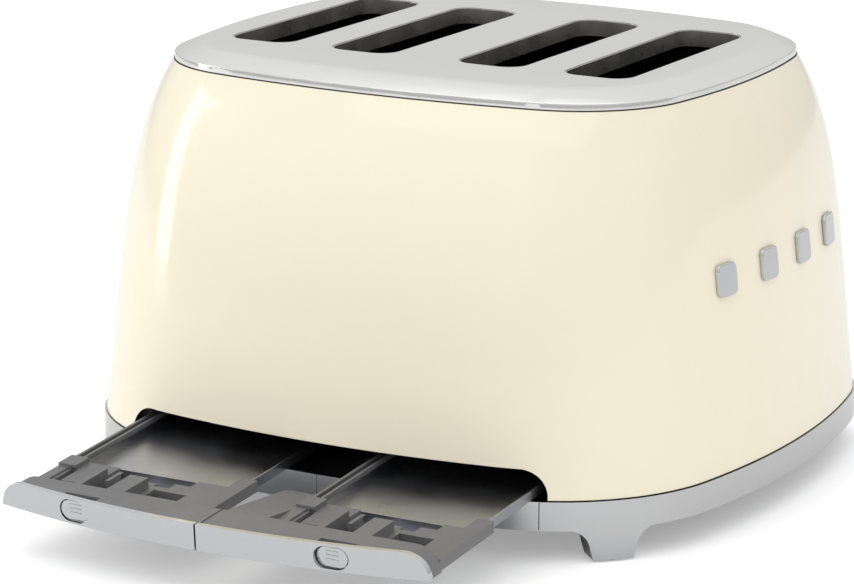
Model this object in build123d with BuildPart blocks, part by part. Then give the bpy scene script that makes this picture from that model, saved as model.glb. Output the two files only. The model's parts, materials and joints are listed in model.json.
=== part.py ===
"""Four-slot pop-up toaster with two slide-out crumb trays.

Millimetres, +Z up. The front, with the levers and knobs, faces -Y, and the crumb trays slide out
of the rear, towards +Y. The origin is on the resting plane, under the middle of the body.
Left and right are as seen by a person who stands in front of the controls.
"""
import math
import os

from build123d import *

os.makedirs("parts", exist_ok=True)

# ---- body outline, in plan, where the shell meets the skirt ----
width = 334.0
depth = 320.0
side_r = 415.0
end_r = 530.0
corner_r = 88.0

# ---- heights, from the ground up ----
foot_height = 15.0
skirt_height = 13.5
seal_height = 0.5
shell_height = 168.0
plate_rise = 8.5

# ---- how the body draws in towards its top ----
side_lean = 15.7
end_lean = 21.6
side_top_inset = 29.3
end_top_inset = 41.0
bulge_power = 5.5
loft_steps = (0.0, 0.3, 0.55, 0.72, 0.85, 0.94, 1.0)

# ---- walls ----
shell_wall = 1.2
shell_flange = 7.0
skirt_wall = 2.5
skirt_proud = 1.0
plate_wall = 1.2
plate_rim = 3.5
plate_shoulder = 12.0
plate_rim_r = 1.0
plate_crown_r = 12.0
pan_wall = 1.5
sheet = 1.0
mica = 0.8

# ---- bread slots ----
slot_length = 134.0
slot_width = 35.0
slot_corner_r = 10.0
slot_pitch = 0.1653 * width
middle_pitch = 0.2036 * width
collar_wall = 1.0
collar_depth = 9.0

# ---- heating chamber ----
chamber_margin = 7.0
chamber_floor = 60.0
board_margin = 4.5
guard_inset = 1.6
guard_wire_r = 1.0
guard_wires = 6

# ---- crumb trays ----
tray_slope = 4.3
tray_pull = 104.0
arch_half = 0.3293 * width
arch_height = 14.0
arch_r = 13.0
tray_gap = 0.8
panel_height = 12.2
panel_thick = 3.0
panel_split = 0.8
carrier_depth = 60.0
pan_lap = 44.0
strip_depth = 20.0
strip_top = 11.6
frame_top = 6.2
tray_base = 0.8
rail_width = 5.5
bar_width = 8.0
bar_length = 72.0
apron_length = 76.0
sheet_pan = 0.8
pan_height = 5.4
pan_end_gap = 4.0
carrier_inside = 0.6
latch_near = -49.0
latch_far = -60.0
# Pockets: from and to, measured across from the rail, then near and far, then their floor
carrier_pockets = (
    (1.5, 4.5, -27.0, -50.0, 2.4),
    (4.5, 14.5, -27.0, -36.0, 2.4),
    (21.0, 38.0, -27.0, -50.0, 1.6),
    (50.0, 67.0, -33.0, -43.0, 1.6),
)
# Ribs: from and to, near and far, then their top
carrier_ribs = (
    (17.5, 21.0, -20.0, -50.0, 9.4),
    (38.0, 47.5, -20.0, -43.0, 11.6),
    (26.0, 28.0, -40.0, -52.0, 8.0),
    (34.5, 37.0, -40.0, -47.0, 9.0),
)
# Steps cut into the back edge: from and to, then where the step starts
carrier_steps = (
    (21.0, 47.5, -50.0),
    (47.5, 55.0, -47.0),
    (55.0, 63.0, -53.0),
)
# Rail and bar of each tray: the right rail and left bar are set in from the end of the panels,
# and the right bar and left rail are set out from the middle
right_rail_inset = 5.2
left_bar_inset = 1.2
right_bar_offset = 12.0
left_rail_offset = 22.0
guide_gap = 0.6
tray_button_x = 0.5953 * arch_half
tray_button_width = 15.4
tray_button_height = 9.4
tray_button_depth = 4.0
tray_button_travel = 2.0

# ---- knobs and buttons ----
dial_z = 52.0
dial_r = 16.0
dial_depth = 16.0
knob_flutes = 24
dial_shaft_r = 3.0
dial_gap = 0.8
dial_socket = 12.0
ring_width = 4.0
ring_gap = 1.2
trim_thick = 1.2
button_z = dial_z + dial_r + 14.0
button_pitch = 20.0
button_r = 5.5
button_proud = 2.6
button_gap = 0.35
button_travel = 1.5
board_setback = 34.0
board_thick = 1.6
switch_depth = 5.0

# ---- levers ----
lever_travel = 56.0
lever_rest_z = button_z + 22.0 + lever_travel
lever_slot_width = 5.0
lever_blade = 3.0
lever_blade_height = 9.0
knob_gap = 2.4
knob_width = 28.0
knob_height = 13.0
knob_depth = 14.0
guide_rod_r = 2.5
running_gap = 0.05
magnet_offset = 17.0
magnet_gap = 0.4
rack_rest_z = chamber_floor + 8.0 + lever_travel
rack_height = 8.0
rack_blade = 3.0
rack_slot_width = 6.0

# ---- small parts ----
badge_z = 117.0
badge_count = 4
badge_pitch = 39.0
badge_size = 15.0
badge_corner_r = 3.0
badge_proud = 2.0
foot_top_width = 38.0
foot_sole_width = 22.0
foot_flare_r = 9.0
foot_thick = 13.0
pad_height = 1.0
pad_depth = 2.0
pad_r = 5.0
gland_bore_r = 3.7
gland_r = 8.0
gland_lip = 2.5
screw_r = 1.6
screw_head_r = 3.5
screw_head = 2.2

# ---- places that follow from the sizes above ----
skirt_top_z = foot_height + skirt_height
shell_bottom_z = skirt_top_z + seal_height
shell_top_z = shell_bottom_z + shell_height
top_z = shell_top_z + plate_rise
pan_z = foot_height + 5.0
pan_top_z = pan_z + pan_wall
inner_slot_x = middle_pitch / 2
outer_slot_x = inner_slot_x + slot_pitch
pair_x = (inner_slot_x + outer_slot_x) / 2
chamber_half = slot_length / 2 + chamber_margin
chassis_top_z = top_z - plate_wall
outer_board_x = outer_slot_x + slot_width / 2 + board_margin
inner_board_x = inner_slot_x - slot_width / 2 - board_margin
shield_x = outer_board_x + mica + 4.0
chassis_half = shield_x + 2.0
board_top_z = shell_top_z - 6.0
leg_width = 6.0
foot_bend = 12.0
panel_half = arch_half - tray_gap
rod_y = -(chamber_half + sheet + 13.0)
magnet_x = pair_x - magnet_offset
sides = (("left", -1), ("right", 1))


def insets(z):
    """How far the body has drawn in at height z, on its sides and on its ends."""
    t = (z - shell_bottom_z) / shell_height
    bulge = max(t, 0.0) ** bulge_power
    at_side = side_lean * t + (side_top_inset - side_lean) * bulge
    at_end = end_lean * t + (end_top_inset - end_lean) * bulge
    return at_side, at_end


def corner_centre(half_w, half_d, r_side, r_end, r_corner):
    """Centre of the corner arc that runs tangent into the side arc and the end arc."""
    side_centre = half_w - r_side
    end_centre = half_d - r_end
    from_side = r_side - r_corner
    from_end = r_end - r_corner
    apart = math.hypot(side_centre, end_centre)
    along = (from_side**2 - from_end**2 + apart**2) / (2 * apart)
    across = math.sqrt(from_side**2 - along**2)
    ux = -side_centre / apart
    uy = end_centre / apart
    return side_centre + along * ux - across * uy, along * uy + across * ux


def outline(z, inset_x, inset_y=None):
    """Flat face at height z bounded by the body's eight tangent arcs, drawn in by the insets."""
    inset_y = inset_x if inset_y is None else inset_y
    half_w = width / 2 - inset_x
    half_d = depth / 2 - inset_y
    radii = (side_r - inset_x, end_r - inset_x, corner_r - inset_x)
    cx, cy = corner_centre(half_w, half_d, *radii)
    side_angle = math.atan2(cy, cx - (half_w - radii[0]))
    end_angle = math.atan2(cy - (half_d - radii[1]), cx)
    mid_angle = (side_angle + end_angle) / 2
    at_side, at_mid, at_end = [
        (cx + radii[2] * math.cos(a), cy + radii[2] * math.sin(a))
        for a in (side_angle, mid_angle, end_angle)
    ]
    with BuildSketch(Plane.XY.offset(z)) as face:
        with BuildLine():
            for sx, sy in ((1, 1), (-1, 1), (-1, -1), (1, -1)):
                side_point = (sx * at_side[0], sy * at_side[1])
                mid_point = (sx * at_mid[0], sy * at_mid[1])
                end_point = (sx * at_end[0], sy * at_end[1])
                if sx == sy:
                    ThreePointArc(side_point, mid_point, end_point)
                    ThreePointArc(end_point, (0, sy * half_d), (-end_point[0], end_point[1]))
                else:
                    ThreePointArc(end_point, mid_point, side_point)
                    ThreePointArc(side_point, (sx * half_w, 0), (side_point[0], -side_point[1]))
        make_face()
    return face.sketch


def body_sections(extra, bottom_z, top):
    """Outlines of the body between two heights, drawn in by a further extra all round."""
    sections = []
    for step in loft_steps:
        z = bottom_z + (top - bottom_z) * step
        at_side, at_end = insets(z)
        sections.append(outline(z, at_side + extra, at_end + extra))
    return sections


def face_plane(x, z):
    """Plane on the front face of the body at x and z, looking outward."""
    at_side, at_end = insets(z)
    radius = end_r - at_side
    turn = math.asin(x / radius)
    t = (z - shell_bottom_z) / shell_height
    slope = (end_lean + (end_top_inset - end_lean) * bulge_power * t ** (bulge_power - 1)) / shell_height
    y = radius * (1 - math.cos(turn)) + at_end - depth / 2
    normal = (math.sin(turn), -math.cos(turn), slope)
    return Plane(origin=(x, y, z), x_dir=(math.cos(turn), math.sin(turn), 0), z_dir=normal)


def save(piece, name):
    """Label one finished piece and write it."""
    piece.label = name
    export_step(piece, f"parts/{name}.step")


def save_pair(piece, name):
    """Write a piece made for the right-hand side, and its mirror image for the left."""
    save(piece, f"{name}_right")
    save(mirror(piece, about=Plane.YZ), f"{name}_left")


# The trays slide on a gentle slope: this plane lies on the sill of the rear opening, with its own
# x along the body's, its y outward along the slide and its z square to the tray floor.
slope = math.radians(tray_slope)
out_dir = Vector(0, math.cos(slope), -math.sin(slope))
sill = Vector(0, depth / 2, skirt_top_z)
tray_plane = Plane(
    origin=sill + out_dir * tray_pull, x_dir=(1, 0, 0), z_dir=(0, math.sin(slope), math.cos(slope))
)


def tray_box(x0, x1, y0, y1, z0, z1, mode=Mode.ADD):
    """Box in the tray's own axes, between two x, two y and two z values."""
    with BuildSketch(tray_plane.offset(z0)) as base:
        with Locations(((x0 + x1) / 2, (y0 + y1) / 2)):
            Rectangle(abs(x1 - x0), abs(y1 - y0))
    extrude(base.sketch, amount=z1 - z0, mode=mode)


def upright_box(x0, x1, y0, y1, z0, z1, mode=Mode.ADD):
    """Box in the body's axes, between two x, two y and two z values."""
    with BuildSketch(Plane.XY.offset(z0)) as base:
        with Locations(((x0 + x1) / 2, (y0 + y1) / 2)):
            Rectangle(abs(x1 - x0), abs(y1 - y0))
    extrude(base.sketch, amount=z1 - z0, mode=mode)


# ---------------------------------------------------------------- body
# Skin of the body, as a thin layer on the shell, from which the trim pieces are cut
with BuildPart() as body_solid:
    loft(sections=body_sections(0, shell_bottom_z, shell_top_z))
with BuildPart() as trim_skin:
    loft(sections=body_sections(-trim_thick, shell_bottom_z, shell_top_z))
    add(body_solid.part, mode=Mode.SUBTRACT)
with BuildPart() as badge_skin:
    loft(sections=body_sections(-badge_proud, shell_bottom_z, shell_top_z))
    add(body_solid.part, mode=Mode.SUBTRACT)

lever_low_z = lever_rest_z - lever_travel
lever_slot_mid_z = lever_rest_z - lever_travel / 2
lever_slot_length = lever_travel + lever_blade_height + 7.0
button_hole_r = button_r + button_gap
dial_hole_r = dial_shaft_r + 1.0
dial_ring_inner_r = dial_r + ring_gap
button_planes = []
for side, sign in sides:
    for place, button in ((-1, "defrost"), (0, "reheat"), (1, "bagel")):
        at = face_plane(sign * pair_x + place * button_pitch, button_z)
        button_planes.append((f"{button}_button_{side}", at))

# Outer shell: one deep-drawn steel skin, open below, with a narrow flange under the top plate
with BuildPart() as outer_shell:
    add(body_solid.part)
    loft(
        sections=body_sections(shell_wall, shell_bottom_z - 1, shell_top_z - shell_wall),
        mode=Mode.SUBTRACT,
    )
    side_mouth = side_top_inset + shell_flange
    extrude(
        outline(shell_top_z - 2 * shell_wall, side_mouth, end_top_inset + shell_flange),
        amount=3 * shell_wall,
        mode=Mode.SUBTRACT,
    )
    # Rear opening for the trays
    with BuildSketch(Plane.XZ.offset(-depth / 2 - 5)) as arch:
        with Locations((0, shell_bottom_z + (arch_height - seal_height) / 2)):
            Rectangle(2 * arch_half, arch_height - seal_height)
        fillet(arch.vertices().group_by(Axis.Y)[-1], radius=arch_r)
        with Locations((0, shell_bottom_z)):
            Rectangle(2 * arch_half, 2.0)
    extrude(arch.sketch, amount=60, mode=Mode.SUBTRACT)
    # Slots and holes for the controls
    for side, sign in sides:
        with BuildSketch(Plane.XZ.offset(depth / 2)) as lever_slot:
            with Locations((sign * pair_x, lever_slot_mid_z)):
                SlotOverall(lever_slot_length, lever_slot_width, rotation=90)
        extrude(lever_slot.sketch, amount=-depth / 4, mode=Mode.SUBTRACT)
        with BuildSketch(face_plane(sign * pair_x, dial_z).offset(6)) as shaft_hole:
            Circle(dial_hole_r)
        extrude(shaft_hole.sketch, amount=-16, mode=Mode.SUBTRACT)
    for name, at in button_planes:
        with BuildSketch(at.offset(6)) as button_hole:
            Circle(button_hole_r)
        extrude(button_hole.sketch, amount=-16, mode=Mode.SUBTRACT)
save(outer_shell.part, "outer_shell")

# Top plate: brushed steel, with a rounded edge all round and four bread slots
slot_places = [(sign * x, 0) for sign in (-1, 1) for x in (inner_slot_x, outer_slot_x)]
plate_side = side_top_inset + 0.5
plate_end = end_top_inset + 0.5
plate_pitch = (plate_rise - plate_rim) / plate_shoulder
plate_taper = 90 - math.degrees(math.atan(plate_pitch))
hollow_rim = plate_rim - plate_wall
with BuildPart() as plate_hollow:
    extrude(outline(shell_top_z, plate_side + plate_wall, plate_end + plate_wall), amount=hollow_rim)
    extrude(
        outline(shell_top_z + hollow_rim, plate_side + plate_wall, plate_end + plate_wall),
        amount=plate_rise - plate_wall - hollow_rim,
        taper=plate_taper,
    )
with BuildPart() as top_plate:
    extrude(outline(shell_top_z, plate_side, plate_end), amount=plate_rim)
    extrude(
        outline(shell_top_z + plate_rim, plate_side, plate_end),
        amount=plate_rise - plate_rim,
        taper=plate_taper,
    )
    crown = top_plate.faces().sort_by(Axis.Z)[-1]
    fillet(crown.edges(), radius=plate_crown_r)
    rim = top_plate.edges().filter_by_position(
        Axis.Z, shell_top_z + plate_rim - 0.01, shell_top_z + plate_rim + 0.01
    )
    fillet(rim, radius=plate_rim_r)
    add(plate_hollow.part, mode=Mode.SUBTRACT)
    with BuildSketch(Plane.XY.offset(top_z)) as bread_slots:
        with Locations(slot_places):
            RectangleRounded(slot_width, slot_length, slot_corner_r)
    extrude(bread_slots.sketch, amount=-plate_rise, mode=Mode.SUBTRACT)
save(top_plate.part, "top_plate")

# Slot collars: four folded steel lips that line the bread slots
with BuildPart() as slot_collars:
    with BuildSketch(Plane.XY.offset(top_z - collar_depth)) as lips:
        with Locations(slot_places):
            RectangleRounded(slot_width, slot_length, slot_corner_r)
            RectangleRounded(
                slot_width - 2 * collar_wall,
                slot_length - 2 * collar_wall,
                slot_corner_r - collar_wall,
                mode=Mode.SUBTRACT,
            )
    extrude(lips.sketch, amount=collar_depth - 0.4)
save(slot_collars.part, "slot_collars")

# ---------------------------------------------------------------- base
# Base skirt: polished band that carries the shell, with four flared feet
foot_x, foot_y = corner_centre(width / 2, depth / 2, side_r, end_r, corner_r)
foot_arm = corner_r - foot_thick / 2
foot_places = [
    (sx * (foot_x + foot_arm * math.sqrt(0.5)), sy * (foot_y + foot_arm * math.sqrt(0.5)))
    for sx in (-1, 1)
    for sy in (-1, 1)
]
with BuildPart() as foot_blocks:
    for sx, sy in ((-1, -1), (-1, 1), (1, -1), (1, 1)):
        away = Vector(sx, sy, 0).normalized()
        across = Vector(-away.Y, away.X, 0)
        centre = Vector(sx * foot_x, sy * foot_y, 0) + away * (corner_r - 40)
        half_top = foot_top_width / 2
        half_sole = foot_sole_width / 2
        sole_z = pad_height
        low = (half_sole, foot_height - foot_flare_r)
        belly = (half_sole + 0.2 * foot_flare_r, foot_height - 0.45 * foot_flare_r)
        with BuildSketch(Plane(origin=centre, x_dir=across, z_dir=away)) as foot:
            with BuildLine():
                Polyline((half_top, foot_height), (half_top, foot_height + 1), (0, foot_height + 1))
                ThreePointArc((half_top, foot_height), belly, low)
                Polyline(low, (half_sole - 1.5, sole_z), (0, sole_z))
                mirror(about=Plane.YZ)
            make_face()
        extrude(foot.sketch, amount=80)
with BuildPart() as foot_ring:
    extrude(outline(pad_height, -skirt_proud), amount=foot_height)
    extrude(outline(pad_height, foot_thick - skirt_proud), amount=foot_height, mode=Mode.SUBTRACT)
    add(foot_blocks.part, mode=Mode.INTERSECT)
with BuildPart() as base_skirt:
    extrude(outline(foot_height, -skirt_proud), amount=skirt_height)
    extrude(outline(foot_height, skirt_wall - skirt_proud), amount=skirt_height, mode=Mode.SUBTRACT)
    add(foot_ring.part)
    with BuildSketch(Plane.XY.offset(pad_height)) as pad_pockets:
        with Locations(foot_places):
            Circle(pad_r)
    extrude(pad_pockets.sketch, amount=pad_depth, mode=Mode.SUBTRACT)
save(base_skirt.part, "base_skirt")

# Foot pads: rubber discs set into the feet
with BuildPart() as foot_pads:
    with BuildSketch() as pads:
        with Locations(foot_places):
            Circle(pad_r)
    extrude(pads.sketch, amount=pad_height + pad_depth)
save(foot_pads.part, "foot_pads")

# Shell seal: dark gasket between the skirt and the shell, left out across the tray opening
with BuildPart() as shell_seal:
    seal_inset = 0.8
    extrude(outline(skirt_top_z, seal_inset), amount=seal_height)
    extrude(outline(skirt_top_z, skirt_wall - skirt_proud), amount=seal_height, mode=Mode.SUBTRACT)
    upright_box(-arch_half, arch_half, depth / 4, depth, skirt_top_z, shell_bottom_z, mode=Mode.SUBTRACT)
save(shell_seal.part, "shell_seal")

# Base pan: pressed floor inside the skirt, with holes for its screws and the cord gland
screw_y = chamber_half + sheet + 6.0
screw_places = [(sx * (chassis_half - 12), sy * screw_y) for sx in (-1, 1) for sy in (-1, 1)]
gland_y = depth / 2 - 46
with BuildPart() as base_pan:
    extrude(outline(pan_z, skirt_wall - skirt_proud), amount=pan_wall)
    with BuildSketch(Plane.XY.offset(pan_z)) as pan_holes:
        with Locations(screw_places):
            Circle(screw_r)
        with Locations((0, gland_y)):
            Circle(gland_r - 2)
    extrude(pan_holes.sketch, amount=pan_wall, mode=Mode.SUBTRACT)
save(base_pan.part, "base_pan")

# Cord gland: rubber bush in the base pan, with a through bore for a mains cord
with BuildPart() as cord_gland:
    with BuildSketch(Plane.XY.offset(pan_z - gland_lip)) as gland_flange:
        with Locations((0, gland_y)):
            Circle(gland_r)
    extrude(gland_flange.sketch, amount=gland_lip)
    with BuildSketch(Plane.XY.offset(pan_z)) as gland_neck:
        with Locations((0, gland_y)):
            Circle(gland_r - 2)
    extrude(gland_neck.sketch, amount=pan_wall + 1.5)
    with BuildSketch(Plane.XY.offset(pan_z - gland_lip)) as gland_bore:
        with Locations((0, gland_y)):
            Circle(gland_bore_r)
    extrude(gland_bore.sketch, amount=gland_lip + pan_wall + 1.5, mode=Mode.SUBTRACT)
save(cord_gland.part, "cord_gland")

# Base screws: pan-head screws up through the base pan into the chassis feet
with BuildPart() as base_screws:
    with BuildSketch(Plane.XY.offset(pan_z - screw_head)) as screw_heads:
        with Locations(screw_places):
            Circle(screw_head_r)
    extrude(screw_heads.sketch, amount=screw_head)
    with BuildSketch(Plane.XY.offset(pan_z)) as screw_shanks:
        with Locations(screw_places):
            Circle(screw_r)
    extrude(screw_shanks.sketch, amount=pan_wall + sheet + 4.0)
save(base_screws.part, "base_screws")

# ---------------------------------------------------------------- chassis
# Front chassis plate: the wall that carries the lever gear, with a slot for each bread rack
rack_low_z = rack_rest_z - lever_travel
rack_slot_low = rack_low_z - rack_height / 2 - 2
rack_slot_high = rack_rest_z + rack_height / 2 + 2
tab_z = lever_rest_z + 14.0
tab_reach = 8.0
with BuildPart() as front_chassis_plate:
    upright_box(-chassis_half, chassis_half, -chamber_half - sheet, -chamber_half, pan_top_z, chassis_top_z)
    for sign in (-1, 1):
        for x in (inner_slot_x, outer_slot_x):
            half = rack_slot_width / 2
            upright_box(
                sign * x - half,
                sign * x + half,
                -chamber_half - sheet,
                -chamber_half,
                rack_slot_low,
                rack_slot_high,
                mode=Mode.SUBTRACT,
            )
        # Bent tab that holds the top of the guide rod
        tab_x = sign * pair_x
        upright_box(tab_x - 12, tab_x + 12, rod_y - tab_reach, -chamber_half - sheet, tab_z, tab_z + sheet)
        # Foot, screwed to the base pan
        foot_mid = sign * (chassis_half - 12)
        foot_far = -chamber_half - sheet - foot_bend
        foot_top = pan_top_z + sheet
        upright_box(foot_mid - 10, foot_mid + 10, foot_far, -chamber_half - sheet, pan_top_z, foot_top)
    with BuildSketch(Plane.XY.offset(pan_top_z)) as front_screw_holes:
        with Locations([place for place in screw_places if place[1] < 0]):
            Circle(screw_r)
    extrude(front_screw_holes.sketch, amount=sheet, mode=Mode.SUBTRACT)
save(front_chassis_plate.part, "front_chassis_plate")

# Tray widths: the right tray has its rail outboard, the left tray has its rail inboard,
# so that one moulding serves both sides
right_rail_x = panel_half - right_rail_inset
right_bar_x = right_bar_offset
left_rail_x = -left_rail_offset
left_bar_x = left_bar_inset - panel_half
trays = (
    ("right", right_rail_x, right_bar_x, panel_split / 2, panel_half),
    ("left", left_rail_x, left_bar_x, -panel_half, -panel_split / 2),
)
window_top_z = chamber_floor - 1.0
centre_leg = (left_rail_x + guide_gap, right_bar_x + 3.0 - guide_gap)

# Rear chassis plate: the wall behind the heaters, with a window for each tray
with BuildPart() as rear_chassis_plate:
    upright_box(-chassis_half, chassis_half, chamber_half, chamber_half + sheet, pan_top_z, chassis_top_z)
    for x0, x1 in ((-chassis_half + leg_width, centre_leg[0]), (centre_leg[1], chassis_half - leg_width)):
        upright_box(x0, x1, chamber_half, chamber_half + sheet, pan_top_z, window_top_z, mode=Mode.SUBTRACT)
    for sign in (-1, 1):
        upright_box(
            sign * (chassis_half - 19),
            sign * chassis_half,
            chamber_half + sheet,
            chamber_half + sheet + foot_bend,
            pan_top_z,
            pan_top_z + sheet,
        )
    with BuildSketch(Plane.XY.offset(pan_top_z)) as rear_screw_holes:
        with Locations([place for place in screw_places if place[1] > 0]):
            Circle(screw_r)
    extrude(rear_screw_holes.sketch, amount=sheet, mode=Mode.SUBTRACT)
save(rear_chassis_plate.part, "rear_chassis_plate")

# Heat shields: bright sheets between the chassis plates, outside the outer heaters
with BuildPart() as side_heat_shield:
    upright_box(shield_x, shield_x + sheet, -chamber_half, chamber_half, chamber_floor, board_top_z)
save_pair(side_heat_shield.part, "side_heat_shield")

# Heater boards: mica cards between the chassis plates, either side of every bread slot
board_places = {
    "heater_board_inner": inner_board_x - mica,
    "heater_board_middle": pair_x - mica / 2,
    "heater_board_outer": outer_board_x,
}
for name, x in board_places.items():
    with BuildPart() as heater_board:
        upright_box(x, x + mica, -chamber_half, chamber_half, chamber_floor, board_top_z)
    save_pair(heater_board.part, name)

# Heater ribbons: flat resistance wire, wound across both faces of the cards
ribbon_width = 1.6
ribbon_thick = 0.3
ribbon_pitch = 17.0
ribbon_faces = (
    inner_board_x,
    pair_x - mica / 2 - ribbon_thick,
    pair_x + mica / 2,
    outer_board_x - ribbon_thick,
)
ribbon_count = int((board_top_z - chamber_floor - 12) / ribbon_pitch) + 1
with BuildPart() as heater_ribbons:
    for x in ribbon_faces:
        for row in range(ribbon_count):
            z = chamber_floor + 8 + row * ribbon_pitch
            reach = chamber_half - 6
            upright_box(x, x + ribbon_thick, -reach, reach, z, z + ribbon_width)
save_pair(heater_ribbons.part, "heater_ribbons")

# Tray guide rails: channels on the slope of the trays, fixed to the chassis legs
guide_rear_end = -tray_pull - 24.0
with BuildPart() as tray_guide_rails:
    near = -(chamber_half - 1 + depth / 2) / math.cos(slope) - tray_pull
    at_plate = (chamber_half - 1 - depth / 2) / math.cos(slope) - tray_pull
    leg_inside = chassis_half - leg_width
    for x0, x1, y1 in (
        (right_rail_x + guide_gap, leg_inside, guide_rear_end),
        (-leg_inside, left_bar_x - guide_gap, guide_rear_end),
        (left_rail_x + guide_gap, left_rail_x + guide_gap + 2.5, at_plate),
        (right_bar_x + 3.0 - guide_gap - 2.5, right_bar_x + 3.0 - guide_gap, at_plate),
    ):
        tray_box(x0, x1, near, y1, -1.5, 8.0)
save(tray_guide_rails.part, "tray_guide_rails")

# ---------------------------------------------------------------- crumb trays
front_y = -1.0
sill_gap = 0.5
panel_top = sill_gap + panel_height
pan_end = pan_end_gap - (chamber_half + depth / 2) / math.cos(slope)
button_mid_z = sill_gap + panel_height / 2
facing_ahead = 20.0
key_recess = 1.2
facing = Plane(origin=tray_plane.origin + out_dir * facing_ahead, x_dir=(-1, 0, 0), z_dir=out_dir)


def front_block(x0, x1, front, back, inside, top):
    """Block behind the rear opening: curved with the body, its outer top corner rounded."""
    with BuildSketch(facing) as profile:
        with Locations((0, top / 2)):
            Rectangle(2 * (panel_half - inside), top)
        fillet(profile.vertices().group_by(Axis.Y)[-1], radius=arch_r - inside - 1)
        Rectangle(2 * panel_half, 2 * sill_gap, mode=Mode.SUBTRACT)
    with BuildSketch(tray_plane) as plan:
        with Locations((0, front - end_r)):
            Circle(end_r)
        with Locations(((x0 + x1) / 2, (front + back) / 2)):
            Rectangle(x1 - x0, front - back, mode=Mode.INTERSECT)
    with BuildPart() as block:
        extrude(plan.sketch, amount=top + 1)
        extrude(profile.sketch, amount=-100, mode=Mode.INTERSECT)
    return block.part


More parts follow.
